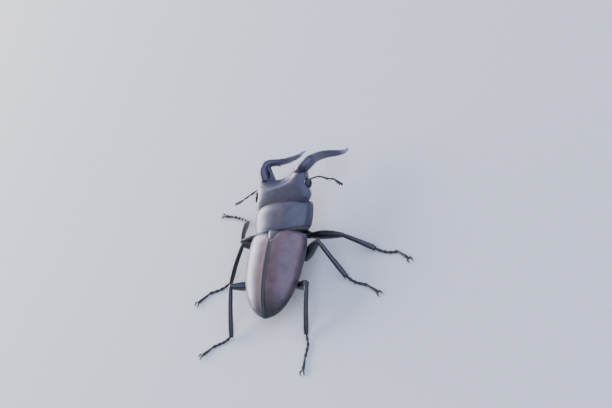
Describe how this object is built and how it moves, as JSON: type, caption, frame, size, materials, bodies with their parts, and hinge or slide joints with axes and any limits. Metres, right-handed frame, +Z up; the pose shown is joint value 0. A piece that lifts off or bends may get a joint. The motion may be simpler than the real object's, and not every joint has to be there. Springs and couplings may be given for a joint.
{
  "type": "stag beetle model",
  "caption": "Life-size still model of a long-jawed male stag beetle, standing on its feet with bent-down antlered jaws, domed wing cases and spread legs.",
  "frame": {"origin": "on the floor, under the middle of the stance", "axes": "+Z up, +Y towards the head end, +X to the beetle's right"},
  "size_m": [0.0762, 0.0746, 0.0156],
  "materials": {
    "shield_cuticle": "satin",
    "wing_case_cuticle": "satin",
    "jaw_cuticle": "satin",
    "leg_cuticle": "satin",
    "belly_cuticle": "satin",
    "eye_facets": "gloss",
    "feeler_cuticle": "matte"
  },
  "bodies": {
    "root": {"head": "shield_cuticle", "labrum": "jaw_cuticle", "mentum": "belly_cuticle", "eye_right": "eye_facets", "mandible_right": "jaw_cuticle", "palp_right": "feeler_cuticle", "eye_left": "eye_facets", "mandible_left": "jaw_cuticle", "palp_left": "feeler_cuticle", "pronotum": "shield_cuticle", "prosternum": "belly_cuticle", "scutellum": "shield_cuticle", "elytron_right": "wing_case_cuticle", "elytron_left": "wing_case_cuticle", "metathorax": "belly_cuticle", "abdomen": "belly_cuticle", "antenna_scape_right": "feeler_cuticle", "antenna_stalk_right": "feeler_cuticle", "antenna_club_right": "feeler_cuticle", "antenna_scape_left": "feeler_cuticle", "antenna_stalk_left": "feeler_cuticle", "antenna_club_left": "feeler_cuticle", "coxa_fore_right": "leg_cuticle", "femur_fore_right": "leg_cuticle", "tibia_fore_right": "leg_cuticle", "tarsus_fore_right": "leg_cuticle", "claws_fore_right": "leg_cuticle", "coxa_mid_right": "leg_cuticle", "femur_mid_right": "leg_cuticle", "tibia_mid_right": "leg_cuticle", "tarsus_mid_right": "leg_cuticle", "claws_mid_right": "leg_cuticle", "coxa_hind_right": "leg_cuticle", "femur_hind_right": "leg_cuticle", "tibia_hind_right": "leg_cuticle", "tarsus_hind_right": "leg_cuticle", "claws_hind_right": "leg_cuticle", "coxa_fore_left": "leg_cuticle", "femur_fore_left": "leg_cuticle", "tibia_fore_left": "leg_cuticle", "tarsus_fore_left": "leg_cuticle", "claws_fore_left": "leg_cuticle", "coxa_mid_left": "leg_cuticle", "femur_mid_left": "leg_cuticle", "tibia_mid_left": "leg_cuticle", "tarsus_mid_left": "leg_cuticle", "claws_mid_left": "leg_cuticle", "coxa_hind_left": "leg_cuticle", "femur_hind_left": "leg_cuticle", "tibia_hind_left": "leg_cuticle", "tarsus_hind_left": "leg_cuticle", "claws_hind_left": "leg_cuticle"}
  },
  "joints": []
}
